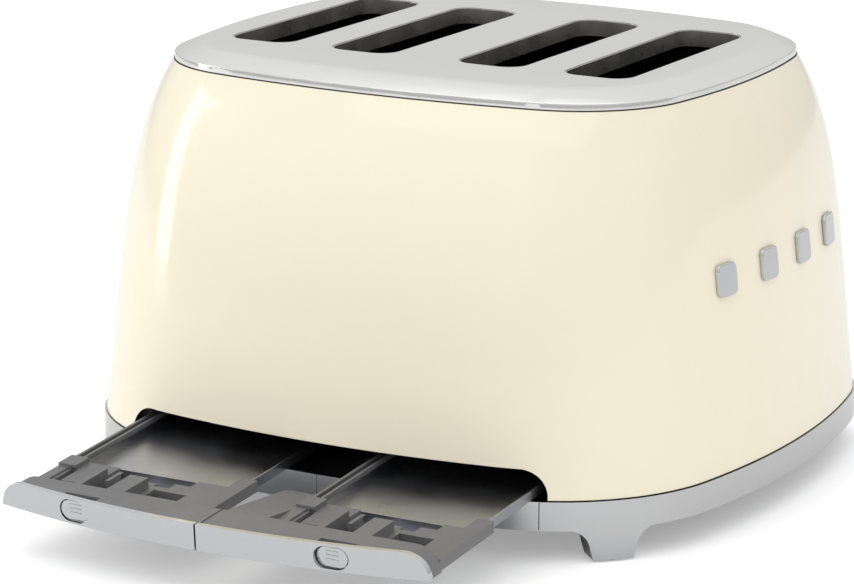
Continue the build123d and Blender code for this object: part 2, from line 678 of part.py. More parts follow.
for side, rail_x, bar_x, x0, x1 in trays:
    button_x = tray_button_x if side == "right" else -tray_button_x
    rail_in = rail_x - rail_width
    bar_in = bar_x + bar_width
    strip_back = front_y - panel_thick - strip_depth

    # Tray panel: polished front that closes its half of the rear opening
    with BuildPart() as tray_panel:
        add(front_block(x0, x1, front_y, -30, 0, panel_top))
        with BuildSketch(tray_plane) as behind_panel:
            with Locations((0, front_y - end_r)):
                Circle(end_r - panel_thick)
        extrude(behind_panel.sketch, amount=panel_top + 1, mode=Mode.SUBTRACT)
        with BuildSketch(facing) as button_window:
            with Locations((-button_x, button_mid_z)):
                SlotOverall(tray_button_width + 0.8, tray_button_height + 0.8)
        extrude(button_window.sketch, amount=-100, mode=Mode.SUBTRACT)
    save(tray_panel.part, f"tray_panel_{side}")

    # Tray carrier: moulded frame behind the panel, with its rail, bar, pockets and latch block
    with BuildPart() as tray_carrier:
        add(front_block(x0, x1, front_y - 0.02, strip_back, carrier_inside, strip_top))
        with BuildSketch(tray_plane) as ahead_of_carrier:
            with Locations((0, front_y - end_r)):
                Circle(end_r + 30)
                Circle(end_r - panel_thick, mode=Mode.SUBTRACT)
        extrude(ahead_of_carrier.sketch, amount=panel_top + 1, mode=Mode.SUBTRACT)
        tray_box(rail_x, bar_x, strip_back, -carrier_depth, tray_base, frame_top)
        tray_box(rail_x, rail_in, strip_back, pan_end, tray_base, frame_top + 1.0)
        tray_box(rail_x, rail_in - 4.0, latch_near, latch_far, tray_base, frame_top + 2.4)
        tray_box(bar_x, bar_in, strip_back, -bar_length, tray_base, frame_top)
        # Groove along the rail, behind the latch block
        groove_mid = (rail_x + rail_in) / 2
        tray_box(
            groove_mid - 1.2, groove_mid + 1.2, latch_far, pan_end, 2.6, frame_top + 1, mode=Mode.SUBTRACT
        )
        # Pockets in the frame, each measured across from the rail
        for u0, u1, near, far, floor in carrier_pockets:
            tray_box(rail_in - u0, rail_in - u1, near, far, floor, frame_top + 1, mode=Mode.SUBTRACT)
        for u0, u1, near, far, top in carrier_ribs:
            tray_box(rail_in - u0, rail_in - u1, near, far, tray_base, top)
        # Stepped back edge
        for u0, u1, far in carrier_steps:
            tray_box(
                rail_in - u0, rail_in - u1, far, -carrier_depth - 1, 0, frame_top + 1, mode=Mode.SUBTRACT
            )
        # The front of the steel pan lies under the back of the frame
        pan_lip_top = tray_base + sheet_pan
        tray_box(rail_in, bar_in, -pan_lap, -carrier_depth - 1, 0, pan_lip_top, mode=Mode.SUBTRACT)
        # Room for the push button, with a notch just behind the panel
        pocket_top = strip_top - 1.6
        tray_box(
            button_x - 12, button_x + 12, front_y, strip_back + 2.5, 0, pocket_top, mode=Mode.SUBTRACT
        )
        tray_box(button_x - 9, button_x + 9, front_y, front_y - 12, 0, strip_top + 1, mode=Mode.SUBTRACT)
        # Sloping apron between the two trays
        if side == "left":
            with BuildSketch(Plane(origin=tray_plane.origin, x_dir=out_dir, z_dir=(1, 0, 0))) as apron:
                with BuildLine():
                    Polyline(
                        (strip_back, tray_base),
                        (strip_back, strip_top - 0.8),
                        (-apron_length, tray_base + 1.6),
                        (-apron_length, tray_base),
                        close=True,
                    )
                make_face()
            extrude(apron.sketch.moved(Location((rail_x, 0, 0))), amount=x1 - rail_x)
    save(tray_carrier.part, f"tray_carrier_{side}")

    # Tray pan: folded bright steel, between the rail and the bar
    with BuildPart() as tray_pan:
        tray_box(rail_in, bar_in, -carrier_depth, pan_end, tray_base, pan_height)
        tray_box(rail_in, bar_in, -pan_lap, -carrier_depth, tray_base, tray_base + sheet_pan)
        tray_box(bar_in, bar_x + 3.0, -bar_length, pan_end, tray_base, pan_height)
        tray_box(
            rail_in - sheet_pan,
            bar_in + sheet_pan,
            -carrier_depth - sheet_pan,
            pan_end + sheet_pan,
            tray_base + sheet_pan,
            pan_height,
            mode=Mode.SUBTRACT,
        )
        tray_box(
            bar_in + sheet_pan,
            bar_x + 3.0 + sheet_pan,
            -bar_length - sheet_pan,
            pan_end + sheet_pan,
            tray_base + sheet_pan,
            pan_height,
            mode=Mode.SUBTRACT,
        )
    save(tray_pan.part, f"tray_pan_{side}")

    # Tray push button: oval key in the panel, on a stem that runs back into the carrier
    drop = end_r - math.sqrt(end_r**2 - button_x**2)
    with BuildPart() as tray_button:
        key_face = facing.offset(front_y - facing_ahead - drop - key_recess)
        with BuildSketch(key_face) as key:
            with Locations((-button_x, button_mid_z)):
                SlotOverall(tray_button_width, tray_button_height)
        extrude(key.sketch, amount=-tray_button_depth)
        fillet(tray_button.faces().sort_by(Axis.Y)[-1].edges(), radius=0.6)
        tray_box(button_x - 2, button_x + 2, front_y - drop - 5, front_y - drop - 13, 5.0, 9.0)
    save(tray_button.part, f"tray_button_{side}")

# ---------------------------------------------------------------- trim
# Side badges: a row of plain raised studs on each side of the shell
with BuildPart() as side_badge:
    add(badge_skin.part)
    with BuildSketch(Plane.YZ.offset(width / 4)) as badge:
        for count in range(badge_count):
            with Locations(((count - (badge_count - 1) / 2) * badge_pitch, badge_z)):
                RectangleRounded(badge_size, badge_size, badge_corner_r)
    extrude(badge.sketch, amount=width, mode=Mode.INTERSECT)
with BuildPart() as side_badges:
    add(side_badge.part)
    mirror(side_badge.part, about=Plane.YZ)
save(side_badges.part, "side_badges")

# Lever escutcheons: bright frames round the two lever slots
with BuildPart() as escutcheon_bars:
    for side, sign in sides:
        with BuildSketch(Plane.XZ.offset(depth / 2)) as frame_shape:
            with Locations((sign * pair_x, lever_slot_mid_z)):
                SlotOverall(lever_slot_length + 9, lever_slot_width + 9, rotation=90)
                SlotOverall(lever_slot_length + 1, lever_slot_width + 1, rotation=90, mode=Mode.SUBTRACT)
        extrude(frame_shape.sketch, amount=-depth / 4)
with BuildPart() as lever_escutcheons:
    add(trim_skin.part)
    add(escutcheon_bars.part, mode=Mode.INTERSECT)
save(lever_escutcheons.part, "lever_escutcheons")

# Dial rings: bright rings on the shell, round the browning knobs
with BuildPart() as ring_tubes:
    for side, sign in sides:
        with BuildSketch(face_plane(sign * pair_x, dial_z).offset(8)) as ring_shape:
            Circle(dial_ring_inner_r + ring_width)
            Circle(dial_ring_inner_r, mode=Mode.SUBTRACT)
        extrude(ring_shape.sketch, amount=-16)
with BuildPart() as dial_rings:
    add(trim_skin.part)
    add(ring_tubes.part, mode=Mode.INTERSECT)
save(dial_rings.part, "dial_rings")

# ---------------------------------------------------------------- controls
# Control boards: one upright circuit board behind each set of buttons
board_y = -depth / 2 + board_setback
for side, sign in sides:
    mid_x = sign * pair_x
    dial_at = face_plane(mid_x, dial_z)
    pot_reach = (board_y - dial_at.origin.Y) / abs(dial_at.z_dir.Y)
    with BuildPart() as control_board:
        upright_box(mid_x - 32, mid_x + 32, board_y, board_y + board_thick, pan_top_z, button_z + 12)
        # Dial potentiometer, with a bore for the knob's shaft
        with BuildSketch(dial_at.offset(-dial_socket)) as pot:
            Circle(9.0)
            Circle(dial_shaft_r + running_gap, mode=Mode.SUBTRACT)
        extrude(pot.sketch, amount=-(pot_reach - dial_socket + 1.0))
        # Switches behind the three buttons
        for place in (-1, 0, 1):
            switch_x = mid_x + place * button_pitch
            upright_box(
                switch_x - 4, switch_x + 4, board_y - switch_depth, board_y, button_z - 7, button_z + 1
            )
    save(control_board.part, f"control_board_{side}")

    # Browning knob: fluted grip with a pointer ridge, on a round shaft
    knob_plane = dial_at.offset(dial_gap)
    with BuildPart() as browning_knob:
        with BuildSketch(knob_plane) as knob_base:
            Circle(dial_r)
            with PolarLocations(dial_r + 1.2, knob_flutes):
                Circle(2.0, mode=Mode.SUBTRACT)
        extrude(knob_base.sketch, amount=dial_depth, taper=3)
        with BuildSketch(knob_plane.offset(dial_depth)) as pointer:
            with Locations((0, dial_r / 2)):
                Rectangle(2.2, dial_r - 5)
        extrude(pointer.sketch, amount=1.2)
        with BuildSketch(knob_plane) as shaft:
            Circle(dial_shaft_r)
        extrude(shaft.sketch, amount=-(dial_gap + dial_socket + 7.0))
    save(browning_knob.part, f"browning_knob_{side}")

# Function buttons: domed keys through the shell, each kept in by a collar behind it
for name, at in button_planes:
    switch_gap = (board_y - switch_depth - at.origin.Y) / abs(at.z_dir.Y) - button_travel - 0.6
    with BuildPart() as button:
        with BuildSketch(at.offset(button_proud)) as button_face:
            Circle(button_r)
        extrude(button_face.sketch, amount=-(button_proud + shell_wall + 4.0))
        fillet(button.edges().filter_by(GeomType.CIRCLE).sort_by(Axis.Y)[0], radius=1.2)
        with BuildSketch(at.offset(-shell_wall - 1.6)) as collar:
            Circle(button_r + 1.6)
        extrude(collar.sketch, amount=-1.2)
        with BuildSketch(at.offset(-shell_wall - 3.0)) as stem:
            Circle(2.0)
        extrude(stem.sketch, amount=-(switch_gap - shell_wall - 3.0))
    save(button.part, name)

# ---------------------------------------------------------------- lever gear
# Guide rods: each stands on the base pan and ends under its tab
with BuildPart() as guide_rod:
    with BuildSketch(Plane.XY.offset(pan_top_z)) as rod:
        with Locations((pair_x, rod_y)):
            Circle(guide_rod_r)
    extrude(rod.sketch, amount=tab_z - pan_top_z)
save_pair(guide_rod.part, "guide_rod")

# Lift springs: close-wound coils between the tab and the carriage
spring_x = pair_x + 8.0
spring_r = 2.6
spring_wire = 1.0
spring_low_z = lever_rest_z + 7.0
spring_turns = int((tab_z - spring_low_z) / spring_wire)
spring_y = rod_y + 6.0
with BuildPart() as lift_spring:
    with BuildSketch(Plane.XZ.offset(-spring_y)) as coil:
        with BuildLine():
            turn = (tab_z - spring_low_z) / spring_turns
            for count in range(spring_turns):
                low = spring_low_z + count * turn
                ThreePointArc(
                    (spring_x + spring_r - turn / 2, low),
                    (spring_x + spring_r, low + turn / 2),
                    (spring_x + spring_r - turn / 2, low + turn),
                )
            Polyline(
                (spring_x + spring_r - turn / 2, tab_z),
                (spring_x + spring_r - spring_wire, tab_z),
                (spring_x + spring_r - spring_wire, spring_low_z),
                (spring_x + spring_r - turn / 2, spring_low_z),
            )
        make_face()
    revolve(coil.sketch, axis=Axis((spring_x, spring_y, 0), (0, 0, 1)))
save_pair(lift_spring.part, "lift_spring")

# Carriages: bush on the guide rod, crossbar to the racks, armature and lever blade
crossbar_y = -chamber_half - sheet - 2.0
bush_r = 5.5
blade_end = face_plane(pair_x, lever_low_z).origin.Y - trim_thick - knob_gap
with BuildPart() as carriage:
    with BuildSketch(Plane.XY.offset(lever_rest_z - 8)) as bush:
        with Locations((pair_x, rod_y)):
            Circle(bush_r)
    extrude(bush.sketch, amount=14)
    upright_box(pair_x - 4, pair_x + 12, rod_y, crossbar_y - 1.0, lever_rest_z - 8, lever_rest_z + 6)
    upright_box(spring_x - 3.5, spring_x + 3.5, spring_y - 3, spring_y + 3, lever_rest_z + 6, spring_low_z)
    # Drop plate down to the rack crossbar, with the armature that the magnet holds
    plate_y = crossbar_y - 3.0
    rack_y = crossbar_y - 1.0
    drop_z = rack_rest_z - rack_height / 2
    upright_box(pair_x - 4, pair_x + 12, plate_y, rack_y, drop_z, lever_rest_z + 6)
    upright_box(magnet_x - 6, pair_x + 12, plate_y, rack_y, drop_z, rack_rest_z + 8)
    upright_box(magnet_x - 6, magnet_x + 6, crossbar_y - 10.0, rack_y, drop_z, drop_z + 2.0)
    # Lever blade, out through the slot in the shell
    upright_box(
        pair_x - lever_blade / 2,
        pair_x + lever_blade / 2,
        blade_end,
        rod_y,
        lever_rest_z - lever_blade_height / 2,
        lever_rest_z + lever_blade_height / 2,
    )
    with BuildSketch(Plane.XY.offset(pan_top_z)) as rod_bore:
        with Locations((pair_x, rod_y)):
            Circle(guide_rod_r + running_gap)
    extrude(rod_bore.sketch, amount=tab_z, mode=Mode.SUBTRACT)
save_pair(carriage.part, "carriage")

# Lever knobs: rounded bright grips on the ends of the blades
with BuildPart() as lever_knob:
    upright_box(
        pair_x - knob_width / 2,
        pair_x + knob_width / 2,
        blade_end - knob_depth,
        blade_end,
        lever_rest_z - knob_height / 2,
        lever_rest_z + knob_height / 2,
    )
    fillet(lever_knob.edges().filter_by(Axis.Y), radius=knob_height / 2 - 0.5)
    fillet(lever_knob.faces().sort_by(Axis.Y)[0].edges(), radius=3.0)
save_pair(lever_knob.part, "lever_knob")

# Bread racks: a crossbar in front of the chassis and a toothed blade under each slice
tooth_count = 7
with BuildPart() as bread_rack:
    upright_box(
        inner_slot_x - rack_blade / 2,
        outer_slot_x + rack_blade / 2,
        crossbar_y - 1.0,
        crossbar_y + 1.0,
        rack_rest_z - rack_height / 2,
        rack_rest_z + rack_height / 2,
    )
    for x in (inner_slot_x, outer_slot_x):
        upright_box(
            x - rack_blade / 2,
            x + rack_blade / 2,
            crossbar_y,
            chamber_half - 4,
            rack_rest_z - rack_height / 2,
            rack_rest_z + rack_height / 2,
        )
        for tooth in range(tooth_count):
            y = (tooth - (tooth_count - 1) / 2) * (slot_length - 14) / (tooth_count - 1)
            upright_box(x - 8, x + 8, y - 1, y + 1, rack_rest_z + 1, rack_rest_z + rack_height / 2 + 1.5)
save_pair(bread_rack.part, "bread_rack")

# Hold magnets: coils on the front chassis plate that keep the carriage down
magnet_top = rack_low_z - rack_height / 2 - magnet_gap
with BuildPart() as hold_magnet:
    wall_y = -chamber_half - sheet
    upright_box(magnet_x - 8, magnet_x + 8, wall_y - 13, wall_y, magnet_top - 20, magnet_top - 17)
    upright_box(magnet_x - 3, magnet_x + 3, wall_y - 10, wall_y - 4, magnet_top - 17, magnet_top)
    with BuildSketch(Plane.XY.offset(magnet_top - 17)) as winding:
        with Locations((magnet_x, wall_y - 7)):
            Circle(6.0)
    extrude(winding.sketch, amount=14)
save_pair(hold_magnet.part, "hold_magnet")

# Bread guards: wire grids on either side of each slot, which close on the slice
guard_low_z = chamber_floor + 4
guard_high_z = top_z - collar_depth - 4.0
guard_reach = slot_length / 2 - 4
for place, shift in (("inner", -1), ("outer", 1)):
    with BuildPart() as bread_guard:
        for slot_x in (inner_slot_x, outer_slot_x):
            x = slot_x + shift * (slot_width / 2 - guard_inset)
            for wire in range(guard_wires):
                y = (wire / (guard_wires - 1) - 0.5) * 2 * guard_reach
                with BuildSketch(Plane.XY.offset(guard_low_z)) as upright_wire:
                    with Locations((x, y)):
                        Circle(guard_wire_r)
                extrude(upright_wire.sketch, amount=guard_high_z - guard_low_z)
            for z in (guard_low_z + 2, (guard_low_z + guard_high_z) / 2, guard_high_z - 2):
                with BuildSketch(Plane.XZ.offset(-guard_reach - 3)) as cross_wire:
                    with Locations((x, z)):
                        Circle(guard_wire_r)
                extrude(cross_wire.sketch, amount=2 * guard_reach + 6)
    save_pair(bread_guard.part, f"bread_guards_{place}")
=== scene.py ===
import json
import math

import bmesh
import bpy
from mathutils import Matrix, Vector
from mathutils.bvhtree import BVHTree


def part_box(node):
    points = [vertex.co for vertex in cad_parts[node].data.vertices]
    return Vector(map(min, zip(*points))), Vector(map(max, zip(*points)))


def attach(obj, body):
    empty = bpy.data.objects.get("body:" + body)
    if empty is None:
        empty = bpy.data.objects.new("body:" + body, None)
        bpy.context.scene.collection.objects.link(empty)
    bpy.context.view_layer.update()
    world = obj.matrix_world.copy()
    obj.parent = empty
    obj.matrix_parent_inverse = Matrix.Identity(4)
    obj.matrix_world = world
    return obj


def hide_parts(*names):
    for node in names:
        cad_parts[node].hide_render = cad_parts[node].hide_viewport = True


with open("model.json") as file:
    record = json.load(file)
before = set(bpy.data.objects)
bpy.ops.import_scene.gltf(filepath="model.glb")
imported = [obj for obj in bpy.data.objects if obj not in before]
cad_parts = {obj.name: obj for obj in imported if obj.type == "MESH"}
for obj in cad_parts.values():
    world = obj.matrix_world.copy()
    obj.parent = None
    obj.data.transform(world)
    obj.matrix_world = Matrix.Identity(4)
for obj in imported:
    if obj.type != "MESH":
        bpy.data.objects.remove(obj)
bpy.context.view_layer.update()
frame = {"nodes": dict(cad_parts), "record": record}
scene = bpy.context.scene
scene.view_settings.view_transform = "Standard"

# ---------------------------------------------------------------- the room
# A pale floor under the feet, a white room that is a little darker near the horizon so that the
# plated parts have something to mirror, and three large soft lamps. The camera stands behind the
# toaster's left rear corner, a little above the worktop.
floor_half = 4.0


def new_finish(name, colour, roughness, metallic=0.0):
    """A material with one Principled shader, its plain values set on the shader's own sockets."""
    finish = bpy.data.materials.new(name)
    finish.use_nodes = True
    shader = finish.node_tree.nodes["Principled BSDF"]
    shader.inputs["Base Color"].default_value = (*colour, 1.0)
    shader.inputs["Roughness"].default_value = roughness
    shader.inputs["Metallic"].default_value = metallic
    return finish, shader


def join(finish, output, target):
    """Link one node's output to another node's input."""
    finish.node_tree.links.new(output, target)


def object_from(shape, name, finish):
    """Scene object at the origin made from a bmesh, in one finish."""
    mesh = bpy.data.meshes.new(name)
    shape.to_mesh(mesh)
    shape.free()
    mesh.materials.append(finish)
    piece = bpy.data.objects.new(name, mesh)
    scene.collection.objects.link(piece)
    return piece


# Sockets of a Mix node that is set to colours
mix_factor, mix_first, mix_second, mix_result = 0, 6, 7, 2

floor_finish, floor_shader = new_finish("floor_paper", (0.92, 0.92, 0.92), 0.9)
floor_shader.inputs["Specular IOR Level"].default_value = 0.1
floor_shader.inputs["Emission Color"].default_value = (1, 1, 1, 1)
floor_path = floor_finish.node_tree.nodes.new("ShaderNodeLightPath")
floor_glow = floor_finish.node_tree.nodes.new("ShaderNodeMapRange")
floor_glow.inputs["To Min"].default_value = 0.3
floor_glow.inputs["To Max"].default_value = 0.0
join(floor_finish, floor_path.outputs["Is Glossy Ray"], floor_glow.inputs["Value"])
join(floor_finish, floor_glow.outputs["Result"], floor_shader.inputs["Emission Strength"])
floor_shape = bmesh.new()
bmesh.ops.create_grid(floor_shape, x_segments=1, y_segments=1, size=floor_half)
floor = object_from(floor_shape, "floor", floor_finish)

room = bpy.data.worlds.new("white_room")
scene.world = room
room.use_nodes = True
room_nodes = room.node_tree.nodes
room_light = room_nodes["Background"]
room_light.inputs["Strength"].default_value = 1.0
room_place = room_nodes.new("ShaderNodeTexCoord")
room_split = room_nodes.new("ShaderNodeSeparateXYZ")
room_bands = room_nodes.new("ShaderNodeValToRGB")
room.node_tree.links.new(room_place.outputs["Generated"], room_split.inputs["Vector"])
room.node_tree.links.new(room_split.outputs["Z"], room_bands.inputs["Fac"])
bands = room_bands.color_ramp
bands.elements[0].position = 0.0
bands.elements[0].color = (0.58, 0.58, 0.59, 1)
bands.elements[1].position = 0.5
bands.elements[1].color = (0.92, 0.92, 0.92, 1)
room_path = room_nodes.new("ShaderNodeLightPath")
room_mix = room_nodes.new("ShaderNodeMix")
room_mix.data_type = "RGBA"
room_mix.inputs[mix_second].default_value = (1.0, 1.0, 1.0, 1.0)
room.node_tree.links.new(room_path.outputs["Is Camera Ray"], room_mix.inputs[mix_factor])
room.node_tree.links.new(room_bands.outputs["Color"], room_mix.inputs[mix_first])
room.node_tree.links.new(room_mix.outputs[mix_result], room_light.inputs["Color"])


def soft_lamp(name, place, target, size, watts):
    """Area lamp of some width and height at one place, turned to face another."""
    lamp = bpy.data.lights.new(name, "AREA")
    lamp.shape = "RECTANGLE"
    lamp.size = size[0]
    lamp.size_y = size[1]
    lamp.energy = watts
    holder = bpy.data.objects.new(name, lamp)
    scene.collection.objects.link(holder)
    holder.location = place
    holder.rotation_mode = "QUATERNION"
    holder.rotation_quaternion = (Vector(target) - Vector(place)).to_track_quat("-Z", "Y")
    return holder


soft_lamp("top_lamp", (0.0, 0.5, 2.2), (0, 0.05, 0), (2.6, 2.6), 10)
soft_lamp("window_lamp", (2.0, 0.95, 0.75), (0, 0.05, 0.3), (0.5, 1.5), 6.5)
fill_lamp = soft_lamp("fill_lamp", (0.3, 3.0, 1.3), (0, 0.1, 0.1), (2.4, 1.6), 7)
fill_lamp.visible_glossy = False

camera_turn = math.radians(208.18)
camera_height = math.radians(13.48)
camera_roll = math.radians(0.48)
camera_distance = 1.7797
camera_target = Vector((0, 0, 0.1028))
back = Vector(
    (
        math.sin(camera_turn) * math.cos(camera_height),
        -math.cos(camera_turn) * math.cos(camera_height),
        math.sin(camera_height),
    )
)
lens = bpy.data.cameras.new("camera")
lens.lens = 154.06
lens.sensor_width = 36.0
lens.shift_x = -0.0692
lens.shift_y = -0.0564
camera = bpy.data.objects.new("camera", lens)
scene.collection.objects.link(camera)
camera.rotation_mode = "QUATERNION"
camera.location = camera_target + back * camera_distance
level_view = (-back).to_track_quat("-Z", "Y")
camera.rotation_quaternion = level_view @ Matrix.Rotation(camera_roll, 3, "Z").to_quaternion()
scene.camera = camera

# ---------------------------------------------------------------- base skirt and feet
# A die-cast band with four flared feet cast on, polished and chrome plated. Fine joint lines
# cross its rear, in the middle and towards each corner. Rubber discs are pushed up into the feet.
node_body = {
    node: body
    for body, members in frame["record"]["behaviour"]["bodies"].items()
    for node in members
}
weld_gap = 2e-6
flat_angle = math.radians(0.5)


def dress(nodes, finish):
    """Give carried-over nodes their material."""
    for node in nodes:
        frame["nodes"][node].material_slots[0].material = finish


def welded(node):
    """Bmesh copy of a node's mesh, with its loose triangles joined up."""
    shape = bmesh.new()
    shape.from_mesh(frame["nodes"][node].data)
    bmesh.ops.remove_doubles(shape, verts=shape.verts, dist=weld_gap)
    return shape


def fair_copy(node, finish, crease=35.0, bevel=0.0, segments=2):
    """Welded, smooth-shaded copy of a node, with its sharp edges kept or rounded by a bevel."""
    shape = welded(node)
    if bevel:
        bmesh.ops.dissolve_limit(
            shape, angle_limit=flat_angle, verts=shape.verts, edges=shape.edges
        )
    for face in shape.faces:
        face.smooth = True
        face.material_index = 0
    for edge in shape.edges:
        edge.smooth = edge.calc_face_angle(0.0) < math.radians(crease)
    piece = object_from(shape, node + "_skin", finish)
    if bevel:
        rounding = piece.modifiers.new("rounded_edges", "BEVEL")
        rounding.width = bevel
        rounding.segments = segments
        rounding.limit_method = "ANGLE"
        rounding.angle_limit = math.radians(crease)
        rounding.harden_normals = True
    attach(piece, node_body[node])
    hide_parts(node)
    return piece


def group_with(name, inputs, outputs):
    """Empty shader group with float inputs, given as name and default, and named outputs."""
    group = bpy.data.node_groups.new(name, "ShaderNodeTree")
    for label, default in inputs:
        socket = group.interface.new_socket(name=label, in_out="INPUT", socket_type="NodeSocketFloat")
        socket.default_value = default
    for label in outputs:
        group.interface.new_socket(name=label, in_out="OUTPUT", socket_type="NodeSocketFloat")
    return group, group.nodes.new("NodeGroupInput"), group.nodes.new("NodeGroupOutput")


# Handling marks: broad soft patches where hands and cloths have changed the shine
handling, handling_in, handling_out = group_with(
    "handling_marks", (("Scale", 18.0), ("Low", 0.05), ("High", 0.1)), ("Roughness",)
)
handling_place = handling.nodes.new("ShaderNodeTexCoord")
handling_patches = handling.nodes.new("ShaderNodeTexNoise")
handling_patches.inputs["Detail"].default_value = 5.0
handling_patches.inputs["Roughness"].default_value = 0.6
handling_range = handling.nodes.new("ShaderNodeMapRange")
handling_range.inputs["From Min"].default_value = 0.35
handling_range.inputs["From Max"].default_value = 0.7
handling.links.new(handling_place.outputs["Object"], handling_patches.inputs["Vector"])
handling.links.new(handling_in.outputs["Scale"], handling_patches.inputs["Scale"])
handling.links.new(handling_patches.outputs["Fac"], handling_range.inputs["Value"])
handling.links.new(handling_in.outputs["Low"], handling_range.inputs["To Min"])
handling.links.new(handling_in.outputs["High"], handling_range.inputs["To Max"])
handling.links.new(handling_range.outputs["Result"], handling_out.inputs["Roughness"])

# Grain: noise drawn out along any axis, for brushed, rolled and moulded surfaces
grain, grain_in, grain_out = group_with(
    "grain", (("Across X", 900.0), ("Across Y", 900.0), ("Across Z", 900.0)), ("Grain",)
)
grain_place = grain.nodes.new("ShaderNodeTexCoord")
grain_scale = grain.nodes.new("ShaderNodeCombineXYZ")
grain_stretch = grain.nodes.new("ShaderNodeVectorMath")
grain_stretch.operation = "MULTIPLY"
grain_noise = grain.nodes.new("ShaderNodeTexNoise")
grain_noise.inputs["Scale"].default_value = 1.0
grain_noise.inputs["Detail"].default_value = 4.0
for axis in "XYZ":
    grain.links.new(grain_in.outputs["Across " + axis], grain_scale.inputs[axis])
grain.links.new(grain_place.outputs["Object"], grain_stretch.inputs[0])
grain.links.new(grain_scale.outputs["Vector"], grain_stretch.inputs[1])
grain.links.new(grain_stretch.outputs["Vector"], grain_noise.inputs["Vector"])
grain.links.new(grain_noise.outputs["Fac"], grain_out.inputs["Grain"])

# Edge wear: picks out the outer edges, where a surface rubs
wear, wear_in, wear_out = group_with("edge_wear", (("From", 0.52), ("To", 0.6)), ("Mask",))
wear_geometry = wear.nodes.new("ShaderNodeNewGeometry")
wear_range = wear.nodes.new("ShaderNodeMapRange")
wear.links.new(wear_geometry.outputs["Pointiness"], wear_range.inputs["Value"])
wear.links.new(wear_in.outputs["From"], wear_range.inputs["From Min"])
wear.links.new(wear_in.outputs["To"], wear_range.inputs["From Max"])
wear.links.new(wear_range.outputs["Result"], wear_out.inputs["Mask"])


def place_group(finish, group, **values):
    """Put a shared group in a material, with the material's own values."""
    node = finish.node_tree.nodes.new("ShaderNodeGroup")
    node.node_tree = group
    for label, value in values.items():
        node.inputs[label.replace("_", " ")].default_value = value
    return node


def add_handling(finish, shader, scale, low, high):
    """Roughness that varies between low and high in broad patches."""
    marks = place_group(finish, handling, Scale=scale, Low=low, High=high)
    join(finish, marks.outputs["Roughness"], shader.inputs["Roughness"])


def add_grain(finish, shader, strength, depth, x, y, z):
    """Fine relief from the grain group."""
    lines = place_group(finish, grain, Across_X=x, Across_Y=y, Across_Z=z)
    relief = finish.node_tree.nodes.new("ShaderNodeBump")
    relief.inputs["Strength"].default_value = strength
    relief.inputs["Distance"].default_value = depth
    join(finish, lines.outputs["Grain"], relief.inputs["Height"])
    join(finish, relief.outputs["Normal"], shader.inputs["Normal"])
    return lines


def tint_by(finish, value, shader, dark, light, low=0.3, high=0.7):
    """Base colour that runs from dark to light with a value."""
    ramp = finish.node_tree.nodes.new("ShaderNodeValToRGB")
    ramp.color_ramp.elements[0].position = low
    ramp.color_ramp.elements[0].color = (*dark, 1)
    ramp.color_ramp.elements[1].position = high
    ramp.color_ramp.elements[1].color = (*light, 1)
    join(finish, value, ramp.inputs["Fac"])
    join(finish, ramp.outputs["Color"], shader.inputs["Base Color"])


chrome, chrome_shader = new_finish("polished_chrome", (0.56, 0.565, 0.58), 0.08, 1.0)
add_handling(chrome, chrome_shader, 22.0, 0.05, 0.11)
fair_copy("base_skirt", chrome)


def slice_of(node, name, finish, cuts, grow):
    """Slice of a node inside cutting planes, grown outward a hair so that it shows as a line."""
    shape = welded(node)
    for point, outward in cuts:
        bmesh.ops.bisect_plane(
            shape,
            geom=shape.verts[:] + shape.edges[:] + shape.faces[:],
            plane_co=point,
            plane_no=outward,
            clear_outer=True,
        )
        bmesh.ops.holes_fill(shape, edges=[edge for edge in shape.edges if edge.is_boundary])
    bmesh.ops.scale(shape, verts=shape.verts, vec=(grow, grow, 1.0))
    piece = object_from(shape, name, finish)
    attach(piece, node_body[node])
    return piece


seam, seam_shader = new_finish("joint_shadow", (0.1, 0.1, 0.1), 0.4, 0.6)
add_handling(seam, seam_shader, 60.0, 0.35, 0.5)
skirt_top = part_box("base_skirt")[1].z
joint_x = 0.107
joint_half = 0.0002
joint_foot = 0.0157
joint_grow = 1.0003
for name, x in (("left", -joint_x), ("middle", 0.0), ("right", joint_x)):
    slice_of(
        "base_skirt",
        f"skirt_joint_{name}",
        seam,
        (
            ((x + joint_half, 0, 0), (1, 0, 0)),
            ((x - joint_half, 0, 0), (-1, 0, 0)),
            ((0, 0, 0), (0, -1, 0)),
            ((0, 0, joint_foot), (0, 0, -1)),
            ((0, 0, skirt_top - joint_half), (0, 0, 1)),
        ),
        joint_grow,
    )

rubber, rubber_shader = new_finish("black_rubber", (0.02, 0.02, 0.02), 0.75)
add_grain(rubber, rubber_shader, 0.35, 0.0001, 2500, 2500, 2500)
add_handling(rubber, rubber_shader, 40.0, 0.6, 0.85)
dress(("foot_pads", "shell_seal", "cord_gland"), rubber)

# ---------------------------------------------------------------- base pan and chassis
# Folded sheet-steel plates: the floor, the two walls that hold the heaters, and the channels that
# the crumb trays run in, painted near black as shade for the dark inside. The screws and the lift's
# rods, springs and carriages are zinc plated, and the heat shields are bare aluminised sheet.


def worn_edges(finish, shader, body, edge, start, end):
    """Base colour that turns to another on edges that rub."""
    mask = place_group(finish, wear, From=start, To=end)
    mix = finish.node_tree.nodes.new("ShaderNodeMix")
    mix.data_type = "RGBA"
    mix.inputs[mix_first].default_value = (*body, 1)
    mix.inputs[mix_second].default_value = (*edge, 1)
    join(finish, mask.outputs["Mask"], mix.inputs[mix_factor])
    join(finish, mix.outputs[mix_result], shader.inputs["Base Color"])
